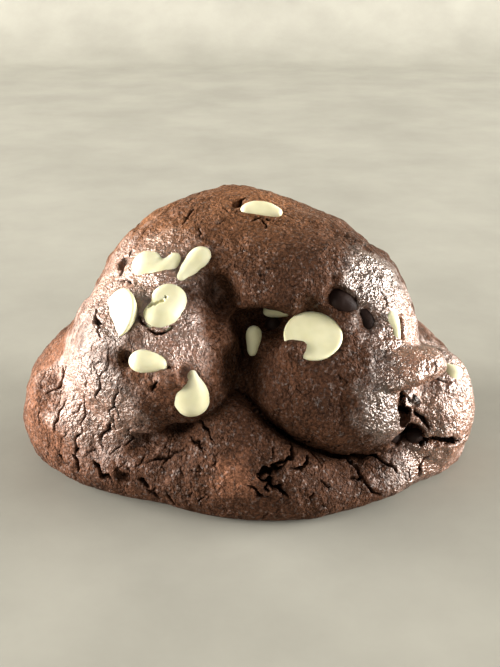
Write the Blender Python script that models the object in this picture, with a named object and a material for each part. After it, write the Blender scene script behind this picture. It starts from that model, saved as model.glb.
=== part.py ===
# A tall stuffed double chocolate cookie: one mound of cocoa dough with a folded lip
# round its foot, studded with white and dark chocolate chips. It is whole and uncut,
# so the dough is solid right through.
from math import cos, pi, radians, sin

import bmesh
import bpy
import numpy as np

MM = 0.001

# Sizes and places are in millimetres from the middle of the base, +X to the right,
# -Y to the front and +Z up.
HEART = np.array((0.0, 0.0, 15.0))
# The middle of the finished cookie's outline, which is laid on the scene's origin.
MIDDLE = np.array((-0.85, 1.98, 0.0))

# name, centre, radii, width of the blend into the lobes before it
LOBES = (
    ("core", (0.0, 4.0, 20.0), (30.0, 25.0, 26.0), 0.0),
    ("base", (0.0, 2.0, 3.0), (39.0, 31.0, 12.0), 0.0),
    ("crown", (-3.0, 3.0, 37.0), (18.6, 18.5, 13.7), 8.0),
    ("right_shoulder", (13.4, -1.0, 31.6), (12.8, 15.0, 12.6), 7.0),
    ("left_shoulder", (-16.0, 1.0, 30.0), (13.2, 16.0, 14.4), 7.0),
    ("left_skirt", (-28.6, -2.0, 11.0), (16.4, 19.0, 14.0), 12.0),
    ("right_skirt", (27.0, 0.0, 10.0), (15.5, 20.0, 15.0), 8.0),
    ("left_face", (-15.0, -11.5, 23.2), (18.8, 17.8, 17.3), 5.0),
    ("brow", (7.0, -7.0, 36.6), (18.3, 16.0, 11.0), 3.0),
    ("right_mid", (19.5, -9.0, 26.5), (12.3, 14.0, 14.0), 6.0),
    ("chin", (13.3, -17.0, 20.8), (15.6, 14.0, 12.6), 2.0),
    ("chin_side", (20.0, -18.0, 18.0), (11.0, 11.5, 11.0), 5.0),
    ("right_lobe", (33.3, -13.0, 13.0), (9.6, 10.5, 12.3), 2.0),
    ("flank_ridge", (26.6, -24.8, 25.4), (4.0, 3.0, 2.1), 2.0),
    ("flank_ridge_end", (31.0, -21.4, 25.2), (3.8, 3.2, 2.1), 2.0),
    ("round_chip_tongue", (8.1, -26.2, 29.6), (3.3, 2.6, 2.2), 2.5),
    ("back_bulge", (8.0, 19.0, 26.0), (17.0, 13.5, 16.0), 7.0),
    ("back_left", (-14.0, 19.0, 16.0), (16.0, 14.5, 13.0), 5.0),
    ("back_right", (17.0, 20.5, 14.0), (15.0, 13.0, 11.0), 4.0),
)
# name, centre, radii, width of the blend at the rim
HOLLOWS = (
    ("under_brow", (3.5, -29.0, 33.8), (8.5, 10.5, 3.4), 3.0),
    ("valley_top", (-6.0, -24.0, 37.2), (2.4, 8.0, 4.0), 4.0),
    ("valley", (-2.6, -29.0, 25.0), (2.6, 9.0, 12.0), 3.0),
    ("under_lower_chip", (-14.0, -27.5, 12.4), (6.5, 4.6, 2.8), 2.0),
    ("side_cleft", (29.6, -30.0, 12.6), (5.0, 9.5, 4.6), 1.2),
    ("side_cleft_top", (27.2, -29.5, 19.6), (2.1, 8.5, 4.6), 1.0),
    ("hole_chip_hollow", (-21.3, -28.4, 29.4), (2.0, 4.8, 2.2), 0.6),
    ("brow_hollow", (2.6, -19.4, 32.7), (6.0, 5.0, 2.5), 1.2),
    ("side_cleft_back", (28.9, -22.5, 16.2), (2.0, 5.5, 3.8), 0.5),
    ("side_cleft_foot", (28.2, -22.5, 12.3), (3.6, 5.8, 2.9), 0.5),
)

# The folded lip is a ring round the foot of the mound. Its outline is an ellipse
# with waves. A wave is an angle about Z and a width, in degrees, and a change in mm.
LIP_CENTRE = (0.0, 2.0)
LIP_RADII = (44.0, 36.4)
LIP_WIDTH = 9.5
LIP_HEIGHT = 8.5
LIP_MIDDLE = 0.36
LIP_OUTLINE_WAVES = (
    (285.0, 22.0, 0.8),
    (240.0, 14.0, -2.0),
    (345.0, 14.0, 1.2),
    (205.0, 12.0, -1.0),
    (90.0, 30.0, 1.0),
    (62.0, 12.0, 1.2),
    (105.0, 9.0, -1.4),
    (130.0, 14.0, -1.2),
    (20.0, 12.0, -1.0),
)
LIP_HEIGHT_WAVES = (
    (263.0, 15.0, 11.5),
    (282.0, 14.0, 4.0),
    (240.0, 14.0, 3.5),
    (320.0, 12.0, 3.0),
    (75.0, 20.0, 4.5),
    (118.0, 14.0, 2.5),
    (150.0, 14.0, 4.0),
    (25.0, 12.0, 2.5),
)
# The lip runs into the mound with a blend that is wider where the two merge.
LIP_BLEND = 1.0
LIP_MERGES = ((190.0, 38.0, 6.0), (75.0, 30.0, 5.0), (140.0, 14.0, 3.0))
# A groove follows the crease between the lip and the mound on the shown side.
GROOVE_WIDTH = 0.65
GROOVE_DEPTH = 3.5
GROOVE_SIDE = (282.0, 55.0)
GROOVE_BLEND = 0.5
FOOT_ROUNDING = 2.0
# size and height of the soft lumps all over the dough
LUMPS = ((11.0, 0.55), (5.0, 0.22))

# name, azimuth and elevation of both ends seen from the heart, half width, depth and
# how far the crack strays from a straight line
CRACKS = (
    ("front_upper", (289.5, -2.6), (281.0, -3.0), 1.0, 1.7, 0.5),
    ("front_middle", (281.0, -3.0), (273.4, -8.5), 1.1, 1.9, 0.5),
    ("front_lower", (275.6, -10.2), (279.3, -15.7), 0.9, 1.4, 0.4),
    ("front_right", (302.5, -6.2), (306.5, -16.2), 0.9, 1.5, 0.5),
    ("right_short", (313.7, -10.9), (316.1, -12.5), 0.9, 1.2, 0.3),
    ("right_end", (325.7, -12.2), (323.3, -17.0), 0.8, 1.1, 0.3),
    ("left_wedge", (226.5, -12.1), (233.5, -15.6), 1.1, 1.5, 0.4),
    ("left_slope", (241.0, -8.8), (249.3, -1.7), 0.8, 1.0, 0.5),
)

# name, middle of the foot, direction of the tip, radius, height, curl of the tip in
# degrees, and bluntness from 0 (pointed) to 1 (a dome)
CHIPS = (
    ("white_chip_top", (-1.4, -3.9, 47.4), (0.97, -0.03, 0.23), 3.6, 9.6, 0.0, 0.3),
    ("white_chip_upper_left", (-21.3, -12.3, 40.2), (0.96, 0.12, 0.24), 4.0, 9.0, 0.0, 0.45),
    ("white_chip_teardrop", (-8.2, -11.4, 43.3), (-0.54, -0.67, -0.51), 2.9, 8.6, 0.0, 0.3),
    ("white_chip_tilted", (-23.7, -21.7, 35.5), (0.72, 0.5, -0.48), 4.6, 5.2, 0.0, 0.3),
    ("white_chip_curled", (-15.1, -23.6, 34.6), (0.42, 0.2, 0.88), 4.0, 9.8, -110.0, 0.35),
    ("white_chip_in_hole", (-19.8, -27.0, 28.9), (0.94, -0.33, 0.11), 2.7, 8.2, 0.0, 0.4),
    ("white_chip_lower", (-10.4, -27.6, 20.2), (0.1, -0.1, 0.99), 4.2, 10.2, 0.0, 0.3),
    ("white_chip_round_face", (11.0, -24.1, 32.7), (0.0, 0.55, -0.84), 5.2, 6.0, 0.0, 0.3),
    ("white_chip_sliver", (-0.6, -19.8, 29.8), (0.6, 0.4, -0.69), 3.1, 4.6, 0.0, 0.5),
    ("white_chip_under_brow", (4.4, -16.0, 36.2), (0.0, -0.1, -0.99), 3.6, 4.2, 0.0, 0.5),
    ("white_chip_right", (27.8, -19.4, 31.4), (-0.7, 0.6, -0.38), 3.8, 4.8, 0.0, 0.4),
    ("white_chip_far_right", (36.9, -16.0, 23.1), (-0.2, -0.49, -0.85), 3.0, 7.0, 0.0, 0.4),
    ("white_chip_back_1", (24.7, 8.0, 32.7), (-0.53, 0.73, 0.43), 4.0, 8.5, 0.0, 0.4),
    ("white_chip_back_2", (22.1, 24.8, 24.9), (0.91, -0.29, -0.3), 4.3, 7.5, 0.0, 0.3),
    ("white_chip_back_3", (11.0, 24.3, 38.6), (-0.84, 0.54, 0.03), 3.9, 9.0, 0.0, 0.3),
    ("white_chip_back_4", (2.7, 31.4, 32.9), (0.16, -0.92, -0.36), 4.9, 6.0, 0.0, 0.3),
    ("white_chip_back_5", (-8.2, 20.1, 39.8), (0.14, 0.63, -0.76), 4.0, 8.5, 0.0, 0.5),
    ("white_chip_back_6", (-18.0, 27.8, 22.5), (-0.23, -0.62, 0.75), 4.1, 8.5, 0.0, 0.3),
    ("white_chip_back_7", (-24.5, 13.9, 31.6), (-0.06, -0.37, 0.93), 4.2, 8.0, 0.0, 0.4),
    ("white_chip_back_8", (-17.8, 15.7, 38.6), (-0.71, -0.59, 0.38), 3.6, 7.0, 0.0, 0.3),
    ("dark_chip_brow", (16.0, -21.2, 38.0), (0.0, 0.95, -0.31), 3.0, 4.6, 0.0, 0.3),
    ("dark_chip_right", (20.9, -21.5, 34.1), (-0.15, 0.86, -0.49), 2.9, 4.4, 0.0, 0.3),
    ("dark_chip_under_brow", (5.4, -16.6, 28.8), (0.0, -0.2, 0.98), 1.6, 3.0, 0.0, 0.5),
    ("dark_chip_cleft_left", (26.2, -21.2, 9.0), (0.05, 0.1, 0.99), 2.0, 3.8, 0.0, 0.6),
    ("dark_chip_cleft_right", (30.6, -21.6, 9.4), (0.0, 0.1, 0.99), 1.8, 3.4, 0.0, 0.6),
    ("dark_chip_back_1", (23.4, 18.4, 35.0), (-0.73, 0.01, -0.68), 3.5, 4.8, 0.0, 0.3),
    ("dark_chip_back_2", (-4.0, 29.1, 22.4), (0.83, 0.22, 0.52), 3.8, 6.5, 0.0, 0.3),
    ("dark_chip_back_3", (1.5, 20.2, 43.0), (-0.98, 0.13, 0.14), 2.8, 5.0, 0.0, 0.5),
)
CHIP_RINGS = 5
CHIP_SIDES = 10
# rounding of the foot's edge as a share of the chip's radius
CHIP_EDGE = 0.5
CHIP_CLEARANCE = 0.3

# The grid on which the dough's surface is found, and how closely that is drawn.
GRID_LOW = (-49.3, -39.3, -2.3)
GRID_HIGH = (49.3, 44.3, 56.1)
GRID_STEP = 0.8
GRID_PARTS = 64
SETTLE_STEPS = 2
SETTLE_REACH = 0.2
CELL = 0.65
DOUGH_TRIANGLES = 4700
LEVEL_TOLERANCE = 0.06

COLOURS = {
    "cookie_dough": (0.105, 0.052, 0.034),
    "white_chip": (0.73, 0.64, 0.36),
    "dark_chip": (0.028, 0.014, 0.011),
}
ROUGHNESS = {"cookie_dough": 0.55, "white_chip": 0.4, "dark_chip": 0.22}


def bump(angle, at, width):
    """A soft bell of height 1 round one angle, in degrees."""
    gap = (angle - at + 180.0) % 360.0 - 180.0
    return np.exp(-((gap / width) ** 2))


def union(a, b, blend):
    """Join two distances, with a fillet where they are about equal."""
    h = np.maximum(blend - np.abs(a - b), 0.0) / np.maximum(blend, 1e-6)
    return np.minimum(a, b) - h * h * blend * 0.25


def carve(a, b, blend):
    return -union(-a, b, blend)


def from_ellipsoid(q, radii):
    outward = np.linalg.norm(q / radii, axis=1)
    steepness = np.linalg.norm(q / (radii * radii), axis=1) + 1e-9
    return outward * (outward - 1.0) / steepness


def from_lip(p):
    """Distance to the lip, width of its blend and how open the groove is, at p."""
    x, y = p[:, 0] - LIP_CENTRE[0], p[:, 1] - LIP_CENTRE[1]
    x = np.where(np.hypot(x, y) < 1e-6, 1e-6, x)
    rho = np.hypot(x, y)
    angle = np.degrees(np.arctan2(y, x)) % 360.0
    out = 1.0 / np.hypot(x / rho / LIP_RADII[0], y / rho / LIP_RADII[1])
    out = out + sum(change * bump(angle, at, width) for at, width, change in LIP_OUTLINE_WAVES)
    top = LIP_HEIGHT + sum(change * bump(angle, at, width) for at, width, change in LIP_HEIGHT_WAVES)
    middle = LIP_MIDDLE * top
    q = np.stack([rho - (out - LIP_WIDTH), p[:, 2] - middle], 1)
    radii = np.stack([np.full_like(top, LIP_WIDTH), top - middle], 1)
    blend = LIP_BLEND + sum(change * bump(angle, at, width) for at, width, change in LIP_MERGES)
    return from_ellipsoid(q, radii), blend, bump(angle, *GROOVE_SIDE)


def noise(p, size, seed):
    """Smooth random heights from -1 to 1, one random value at each lattice corner."""
    q = p / size + seed * 17.3
    cell = np.floor(q)
    f = q - cell
    f = f * f * (3.0 - 2.0 * f)
    total = np.zeros(len(p))
    for corner in np.ndindex(2, 2, 2):
        at = cell + corner
        hashed = np.sin(at @ (12.9898, 78.233, 37.719) + seed) * 43758.5453
        weight = np.prod(np.where(corner, f, 1.0 - f), axis=1)
        total += weight * (hashed - np.floor(hashed))
    return total * 2.0 - 1.0


def direction(azimuth, elevation):
    a, e = np.radians(azimuth), np.radians(elevation)
    return np.stack([np.cos(e) * np.cos(a), np.cos(e) * np.sin(a), np.sin(e)], -1)


def crack_depth(p, crack):
    """Depth at p of a crack that runs between two directions from the heart."""
    _, start, end, width, depth, sway = crack
    a, b = direction(*start), direction(*end)
    across = np.cross(a, b)
    across /= np.linalg.norm(across)
    length = np.arccos(np.clip(a @ b, -1.0, 1.0))
    q = p - HEART
    reach = np.linalg.norm(q, axis=1)
    along = np.arctan2(q @ np.cross(across, a), q @ a) / length
    taper = np.clip(1.0 - (2.0 * along - 1.0) ** 4, 0.0, 1.0)
    near = (taper > 0) & (np.abs(q @ across) < 4 * width + 2 * sway)
    out = np.zeros(len(p))
    side = q[near] @ across + sway * noise(p[near], 3.0, 5)
    half = width * (0.35 + 0.65 * taper[near])
    out[near] = depth * taper[near] * np.maximum(1.0 - np.abs(side) / half, 0.0)
    return out


def dough(p):
    """Signed distance (about) from p to the outside of the dough."""
    _, centre, radii, _ = LOBES[0]
    d = from_ellipsoid(p - np.array(centre), np.array(radii))
    for _, centre, radii, blend in LOBES[1:]:
        d = union(d, from_ellipsoid(p - np.array(centre), np.array(radii)), blend)
    for _, centre, radii, blend in HOLLOWS:
        d = carve(d, from_ellipsoid(p - np.array(centre), np.array(radii)), blend)
    lip, blend, openness = from_lip(p)
    narrowing = 1.0 + np.minimum(d, lip) / GROOVE_DEPTH
    groove = 0.7 * np.abs(d - lip) - GROOVE_WIDTH * openness * narrowing + 1.0 - openness
    d = carve(union(d, lip, blend), groove, GROOVE_BLEND)
    for seed, (size, height) in enumerate(LUMPS):
        d = d - height * noise(p, size, seed + 1)
    for crack in CRACKS:
        d = d + crack_depth(p, crack)
    return -union(-d, p[:, 2], FOOT_ROUNDING)


def gradient(p, field, h=0.3):
    g = np.stack([field(p + o) - field(p - o) for o in np.eye(3) * h], 1)
    return g / (np.linalg.norm(g, axis=1, keepdims=True) + 1e-9)


def zero_surface(field, low, high, step):
    """Points and four-sided faces of the closed surface on which the field is zero.

    Every grid cell that the surface passes through gets one point, the mean of the
    places where the surface crosses the cell's edges.
    """
    counts = [int(round((top - bottom) / step)) + 1 for bottom, top in zip(low, high)]
    grid = np.indices(counts).reshape(3, -1).T
    parts = np.array_split(grid, GRID_PARTS)
    value = np.concatenate([field(np.array(low) + part * step) for part in parts])
    value = value.reshape(counts)
    axes = np.eye(3, dtype=int)
    cells, crossings = [], []
    for axis in range(3):
        near = value[tuple(slice(0, n - a) for n, a in zip(counts, axes[axis]))]
        far = value[tuple(slice(a, n) for n, a in zip(counts, axes[axis]))]
        at = np.argwhere((near < 0) != (far < 0))
        start, end = near[tuple(at.T)], far[tuple(at.T)]
        share = (start / (start - end))[:, None]
        crossings.append(np.repeat(low + (at + axes[axis] * share) * step, 4, axis=0))
        one, two = axes[(axis + 1) % 3], axes[(axis + 2) % 3]
        around = [at, at - one, at - one - two, at - two]
        faces = np.stack([np.ravel_multi_index(tuple(c.T), counts) for c in around], 1)
        faces[start > 0] = faces[start > 0][:, ::-1]
        cells.append(faces)
    faces, where = np.concatenate(cells), np.concatenate(crossings)
    _, place = np.unique(faces.ravel(), return_inverse=True)
    total = [np.bincount(place, weights=where[:, i]) for i in range(3)]
    points = np.stack(total, 1) / np.bincount(place)[:, None]
    return points, place.reshape(-1, 4)


def chip_profile(radius, height, blunt, rings):
    """Radius and distance along the axis, from the middle of the flat foot to the tip."""
    edge = CHIP_EDGE * radius
    turn = np.linspace(0.0, pi / 2, 3)
    foot = [(radius - edge + edge * sin(a), edge - edge * cos(a)) for a in turn]
    t = np.linspace(0.0, 1.0, rings + 1)[1:-1] ** 0.9
    drop = 0.87 * (1.0 + np.cos(pi * t ** 0.85)) / 2 + 0.13 * np.sqrt(1.0 - t * t)
    dome = np.sqrt(1.0 - t * t)
    body = radius * ((1.0 - blunt) * drop + blunt * dome)
    return foot + list(zip(body, edge + (height - edge) * t))


def chip_rings(foot, tip, radius, height, curl, blunt, rings, sides, grow=0.0):
    """Rings of points round an axis that curls sideways towards the tip, and both ends."""
    axis = np.array(tip) / np.linalg.norm(tip)
    side = np.cross(axis, np.array(foot) - HEART)
    side /= np.linalg.norm(side)
    third = np.cross(axis, side)
    spins = np.arange(sides) * 2 * pi / sides
    place = np.array(foot, float)
    last = 0.0
    out = []
    for r, s in chip_profile(radius, height, blunt, rings):
        turn = radians(curl) * (s / height) ** 1.5
        heading = axis * cos(turn) + side * sin(turn)
        place = place + heading * (s - last)
        last = s
        u = side * cos(turn) - axis * sin(turn)
        ring = place + (r + grow) * (np.outer(np.cos(spins), u) + np.outer(np.sin(spins), third))
        out.append(ring)
    out[0] = out[0] - axis * grow
    end = place + heading * (height - last + grow)
    return np.array(out), np.array(foot) - axis * grow, end


def remove_scene_objects():
    for item in list(bpy.data.objects):
        bpy.data.objects.remove(item, do_unlink=True)


def add_object(name, mesh):
    item = bpy.data.objects.new(name, mesh)
    bpy.context.scene.collection.objects.link(item)
    return item


def apply_modifiers(item):
    graph = bpy.context.evaluated_depsgraph_get()
    mesh = bpy.data.meshes.new_from_object(item.evaluated_get(graph))
    item.modifiers.clear()
    item.data = mesh


def points_of(mesh):
    points = np.empty(len(mesh.vertices) * 3, np.float32)
    mesh.vertices.foreach_get("co", points)
    return points.reshape(-1, 3).astype(float) / MM


def move_points(mesh, points):
    mesh.vertices.foreach_set("co", (points * MM).ravel().astype(np.float32))
    mesh.update()


def make_dough_mesh():
    points, faces = zero_surface(dough, GRID_LOW, GRID_HIGH, GRID_STEP)
    for _ in range(SETTLE_STEPS):
        slope = gradient(points, dough, GRID_STEP / 4)
        points -= slope * np.clip(dough(points), -SETTLE_REACH, SETTLE_REACH)[:, None]
    mesh = bpy.data.meshes.new("cookie_dough")
    mesh.from_pydata(((points - MIDDLE) * MM).tolist(), [], faces.tolist())
    mesh.update()
    return mesh


def shell_of(face):
    """All the faces that can be reached from one face across shared edges."""
    shell, edge_of_shell = {face}, [face]
    while edge_of_shell:
        for edge in edge_of_shell.pop().edges:
            for other in edge.link_faces:
                if other not in shell:
                    shell.add(other)
                    edge_of_shell.append(other)
    return shell


def keep_largest_shell(mesh):
    """Drop loose scraps and the walls of sealed hollows, which fills them."""
    bm = bmesh.new()
    bm.from_mesh(mesh)
    left, largest = set(bm.faces), set()
    while left:
        shell = shell_of(next(iter(left)))
        left -= shell
        largest = max(largest, shell, key=len)
    scraps = [face for face in bm.faces if face not in largest]
    bmesh.ops.delete(bm, geom=scraps, context="FACES")
    bm.to_mesh(mesh)
    bm.free()


def even_out(item):
    """Remesh in even cells, which leaves no edge with more than two faces."""
    modifier = item.modifiers.new("even_cells", "REMESH")
    modifier.mode = "VOXEL"
    modifier.voxel_size = CELL * MM
    apply_modifiers(item)


def level_base(mesh):
    """Lay the points of the underside exactly flat."""
    points = points_of(mesh)
    on_base = np.abs(points[:, 2]) < LEVEL_TOLERANCE
    points[on_base, 2] = 0.0
    move_points(mesh, points)


def make_chip_mesh(name, row, rings, sides, grow):
    _, foot, tip, radius, height, curl, blunt = row
    points, start, end = chip_rings(foot, tip, radius, height, curl, blunt, rings, sides, grow)
    foot = np.array(foot)
    bm = bmesh.new()
    loops = [[bm.verts.new((p - foot) * MM) for p in ring] for ring in points]
    first, last = bm.verts.new((start - foot) * MM), bm.verts.new((end - foot) * MM)
    for near, far in zip(loops, loops[1:]):
        for i in range(sides):
            j = (i + 1) % sides
            bm.faces.new((near[i], near[j], far[j], far[i]))
    for i in range(sides):
        j = (i + 1) % sides
        bm.faces.new((first, loops[0][j], loops[0][i]))
        bm.faces.new((last, loops[-1][i], loops[-1][j]))
    bmesh.ops.recalc_face_normals(bm, faces=bm.faces)
    bmesh.ops.triangulate(bm, faces=bm.faces)
    mesh = bpy.data.meshes.new(name)
    bm.to_mesh(mesh)
    bm.free()
    mesh.shade_smooth()
    return mesh


def place_of(row):
    return (np.array(row[1]) - MIDDLE) * MM


def add_material(item, kind):
    material = bpy.data.materials.new(item.name)
    material.use_nodes = True
    shader = material.node_tree.nodes["Principled BSDF"]
    shader.inputs["Base Color"].default_value = (*COLOURS[kind], 1.0)
    shader.inputs["Roughness"].default_value = ROUGHNESS[kind]
    shader.inputs["Metallic"].default_value = 0.0
    item.data.materials.clear()
    item.data.materials.append(material)


def cut_pockets(item):
    """Take a pocket out of the dough for every chip, a little wider than the chip."""
    pockets = bpy.data.collections.new("pockets")
    for row in CHIPS:
        mesh = make_chip_mesh("pocket", row, CHIP_RINGS, CHIP_SIDES, CHIP_CLEARANCE)
        pocket = bpy.data.objects.new("pocket_" + row[0], mesh)
        pocket.location = place_of(row)
        pocket.hide_render = True
        pocket.display_type = "WIRE"
        pockets.objects.link(pocket)
    bpy.context.scene.collection.children.link(pockets)
    cut = item.modifiers.new("pockets", "BOOLEAN")
    cut.operation = "DIFFERENCE"
    cut.operand_type = "COLLECTION"
    cut.collection = pockets
    cut.solver = "EXACT"
    apply_modifiers(item)
    for pocket in list(pockets.objects):
        bpy.data.objects.remove(pocket, do_unlink=True)
    bpy.data.collections.remove(pockets)


def build_dough():
    item = add_object("cookie_dough", make_dough_mesh())
    even_out(item)
    keep_largest_shell(item.data)
    level_base(item.data)
    count = sum(len(face.vertices) - 2 for face in item.data.polygons)
    thin = item.modifiers.new("thin_out", "DECIMATE")
    thin.ratio = DOUGH_TRIANGLES / count
    apply_modifiers(item)
    level_base(item.data)
    keep_largest_shell(item.data)
    cut_pockets(item)
    keep_largest_shell(item.data)
    item.data.shade_smooth()
    add_material(item, "cookie_dough")


def build_chips():
    for row in CHIPS:
        mesh = make_chip_mesh(row[0], row, CHIP_RINGS, CHIP_SIDES, 0.0)
        item = add_object(row[0], mesh)
        item.location = place_of(row)
        add_material(item, row[0][:row[0].index("chip") + 4])


remove_scene_objects()
build_dough()
build_chips()
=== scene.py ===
# A tall stuffed double chocolate cookie on a pale tabletop, in soft light from both sides.
from functools import partial
from math import cos, pi, radians, sin

import bmesh
import bpy
import numpy as np
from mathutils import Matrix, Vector


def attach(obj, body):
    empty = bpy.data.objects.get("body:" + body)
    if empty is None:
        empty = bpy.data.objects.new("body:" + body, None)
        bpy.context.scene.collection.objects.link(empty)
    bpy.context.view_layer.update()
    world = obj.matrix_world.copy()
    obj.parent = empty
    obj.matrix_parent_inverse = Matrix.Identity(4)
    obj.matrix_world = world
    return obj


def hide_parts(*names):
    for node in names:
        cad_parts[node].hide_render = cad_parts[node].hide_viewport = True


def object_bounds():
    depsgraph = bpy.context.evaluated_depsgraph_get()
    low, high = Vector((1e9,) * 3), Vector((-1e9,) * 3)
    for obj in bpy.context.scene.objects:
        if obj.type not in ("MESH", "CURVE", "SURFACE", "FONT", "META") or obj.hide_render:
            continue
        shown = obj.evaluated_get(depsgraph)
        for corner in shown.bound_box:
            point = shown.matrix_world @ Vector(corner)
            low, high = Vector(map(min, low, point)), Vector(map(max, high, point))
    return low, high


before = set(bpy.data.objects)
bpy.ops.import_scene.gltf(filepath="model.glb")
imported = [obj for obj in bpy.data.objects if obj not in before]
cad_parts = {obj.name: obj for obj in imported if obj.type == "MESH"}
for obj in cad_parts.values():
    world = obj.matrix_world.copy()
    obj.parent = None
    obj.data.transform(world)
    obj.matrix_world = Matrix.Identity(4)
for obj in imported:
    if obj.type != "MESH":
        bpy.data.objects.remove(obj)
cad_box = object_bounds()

MM = 0.001

# Sizes and places are in millimetres from the middle of the base, +X to the right,
# -Y to the front and +Z up, and MIDDLE is the place that lies on the scene's origin.
# The directions of cracks are seen from HEART.
HEART = np.array((0.0, 0.0, 15.0))
MIDDLE = np.array((-0.85, 1.98, 0.0))

# name, centre, radii, width of the blend into the lobes before it
LOBES = (
    ("core", (0.0, 4.0, 20.0), (30.0, 25.0, 26.0), 0.0),
    ("base", (0.0, 2.0, 3.0), (39.0, 31.0, 12.0), 0.0),
    ("crown", (-3.0, 3.0, 37.0), (18.6, 18.5, 13.7), 8.0),
    ("right_shoulder", (13.4, -1.0, 31.6), (12.8, 15.0, 12.6), 7.0),
    ("left_shoulder", (-16.0, 1.0, 30.0), (13.2, 16.0, 14.4), 7.0),
    ("left_skirt", (-28.6, -2.0, 11.0), (16.4, 19.0, 14.0), 12.0),
    ("right_skirt", (27.0, 0.0, 10.0), (15.5, 20.0, 15.0), 8.0),
    ("left_face", (-15.0, -11.5, 23.2), (18.8, 17.8, 17.3), 5.0),
    ("brow", (7.0, -7.0, 36.6), (18.3, 16.0, 11.0), 3.0),
    ("right_mid", (19.5, -9.0, 26.5), (12.3, 14.0, 14.0), 6.0),
    ("chin", (13.3, -17.0, 20.8), (15.6, 14.0, 12.6), 2.0),
    ("chin_side", (20.0, -18.0, 18.0), (11.0, 11.5, 11.0), 5.0),
    ("right_lobe", (33.3, -13.0, 13.0), (9.6, 10.5, 12.3), 2.0),
    ("flank_ridge", (26.6, -24.8, 25.4), (4.0, 3.0, 2.1), 2.0),
    ("flank_ridge_end", (31.0, -21.4, 25.2), (3.8, 3.2, 2.1), 2.0),
    ("round_chip_tongue", (8.1, -26.2, 29.6), (3.3, 2.6, 2.2), 2.5),
    ("back_bulge", (8.0, 19.0, 26.0), (17.0, 13.5, 16.0), 7.0),
    ("back_left", (-14.0, 19.0, 16.0), (16.0, 14.5, 13.0), 5.0),
    ("back_right", (17.0, 20.5, 14.0), (15.0, 13.0, 11.0), 4.0),
)
# name, centre, radii, width of the blend at the rim
HOLLOWS = (
    ("under_brow", (3.5, -29.0, 33.8), (8.5, 10.5, 3.4), 3.0),
    ("valley_top", (-5.4, -24.0, 37.2), (1.9, 8.0, 4.0), 3.0),
    ("valley", (-2.3, -29.0, 25.0), (1.7, 7.2, 12.0), 2.5),
    ("under_lower_chip", (-17.5, -28.0, 11.6), (5.0, 5.2, 2.6), 1.4),
    ("under_lower_chip_end", (-11.4, -28.0, 14.6), (4.4, 5.2, 2.4), 1.4),
    ("side_cleft", (28.2, -23.0, 12.4), (3.7, 5.6, 2.3), 0.5),
    ("hole_chip_hollow", (-21.3, -28.4, 29.4), (2.0, 4.8, 2.2), 0.6),
)

# Small folds of dough over the edges of chips, in the same form as the lobes.
FLAPS = (
    ("over_lower_chip", (-13.8, -29.8, 26.7), (2.5, 1.6, 1.5), 0.5),
    ("over_round_chip", (7.6, -25.7, 30.6), (2.5, 2.3, 1.7), 0.9),
    ("over_round_chip_tip", (9.1, -25.6, 31.3), (1.2, 1.3, 0.9), 0.6),
    ("over_round_chip_foot", (9.4, -26.2, 29.5), (1.8, 1.7, 1.4), 0.6),
    ("over_curled_chip", (-14.9, -16.4, 39.6), (2.6, 1.6, 1.3), 1.2),
    ("ridge_back", (28.4, -22.6, 27.0), (5.5, 3.6, 2.2), 3.0),
    ("ridge_start", (24.6, -27.8, 25.6), (2.2, 1.8, 1.2), 1.0),
    ("ridge_middle", (27.8, -27.2, 26.3), (2.4, 1.9, 1.2), 1.0),
    ("ridge_end", (30.9, -25.2, 26.6), (2.2, 2.0, 1.2), 1.0),
    ("left_edge_lump", (-38.0, -13.2, 17.0), (3.6, 3.2, 3.6), 2.0),
)
# Small deep holes in the crust, in the same form as the hollows.
PITS = (
    ("brow_hollow", (2.6, -19.4, 32.7), (6.0, 5.0, 2.5), 1.2),
    ("cleft", (-0.8, -20.5, 28.6), (1.2, 5.0, 4.2), 2.0),
    ("dimple", (-5.0, -19.2, 38.6), (1.9, 3.6, 2.6), 2.5),
    ("left_of_heart", (-23.4, -8.6, 40.9), (0.9, 1.8, 2.3), 0.4),
    ("dark_chip_a", (15.2, -21.0, 38.2), (2.3, 2.5, 1.7), 1.5),
    ("dark_chip_a_end", (17.4, -21.3, 36.8), (2.0, 2.5, 1.5), 1.5),
    ("dark_chip_b", (20.2, -21.6, 35.2), (1.6, 2.5, 1.7), 1.5),
    ("dark_chip_b_end", (20.9, -22.0, 33.4), (1.8, 2.5, 1.8), 1.5),
    ("over_lower_chip_tip", (-11.2, -29.2, 27.6), (1.6, 2.2, 1.4), 0.4),
    ("right_of_crescent", (26.8, -19.6, 31.8), (0.6, 3.2, 2.3), 0.6),
    ("left_of_top_chip", (-2.2, -2.4, 50.0), (1.0, 1.5, 1.1), 0.5),
    ("under_ridge", (29.8, -26.0, 22.6), (3.6, 2.6, 1.1), 0.5),
    ("side_cleft_middle", (27.5, -25.5, 17.6), (1.2, 4.0, 2.2), 0.4),
    ("side_cleft_top", (26.7, -26.5, 21.5), (0.7, 3.5, 2.6), 0.4),
    ("side_cleft_slot", (34.0, -23.5, 10.5), (5.4, 3.2, 0.85), 0.5),
    ("chin_fold", (16.4, -31.6, 24.0), (2.0, 1.6, 7.0), 2.0),
    ("wedge", (-22.9, -27.0, 5.7), (1.7, 1.5, 0.9), 0.5),
    ("left_foot_hole", (-26.2, -26.8, 5.2), (0.9, 1.2, 0.9), 0.5),
)

# The folded lip is a ring round the foot of the mound. Its outline is an ellipse
# with waves. A wave is an angle about Z and a width, in degrees, and a change in mm.
LIP_CENTRE = (0.0, 2.0)
LIP_RADII = (44.0, 36.4)
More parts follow.
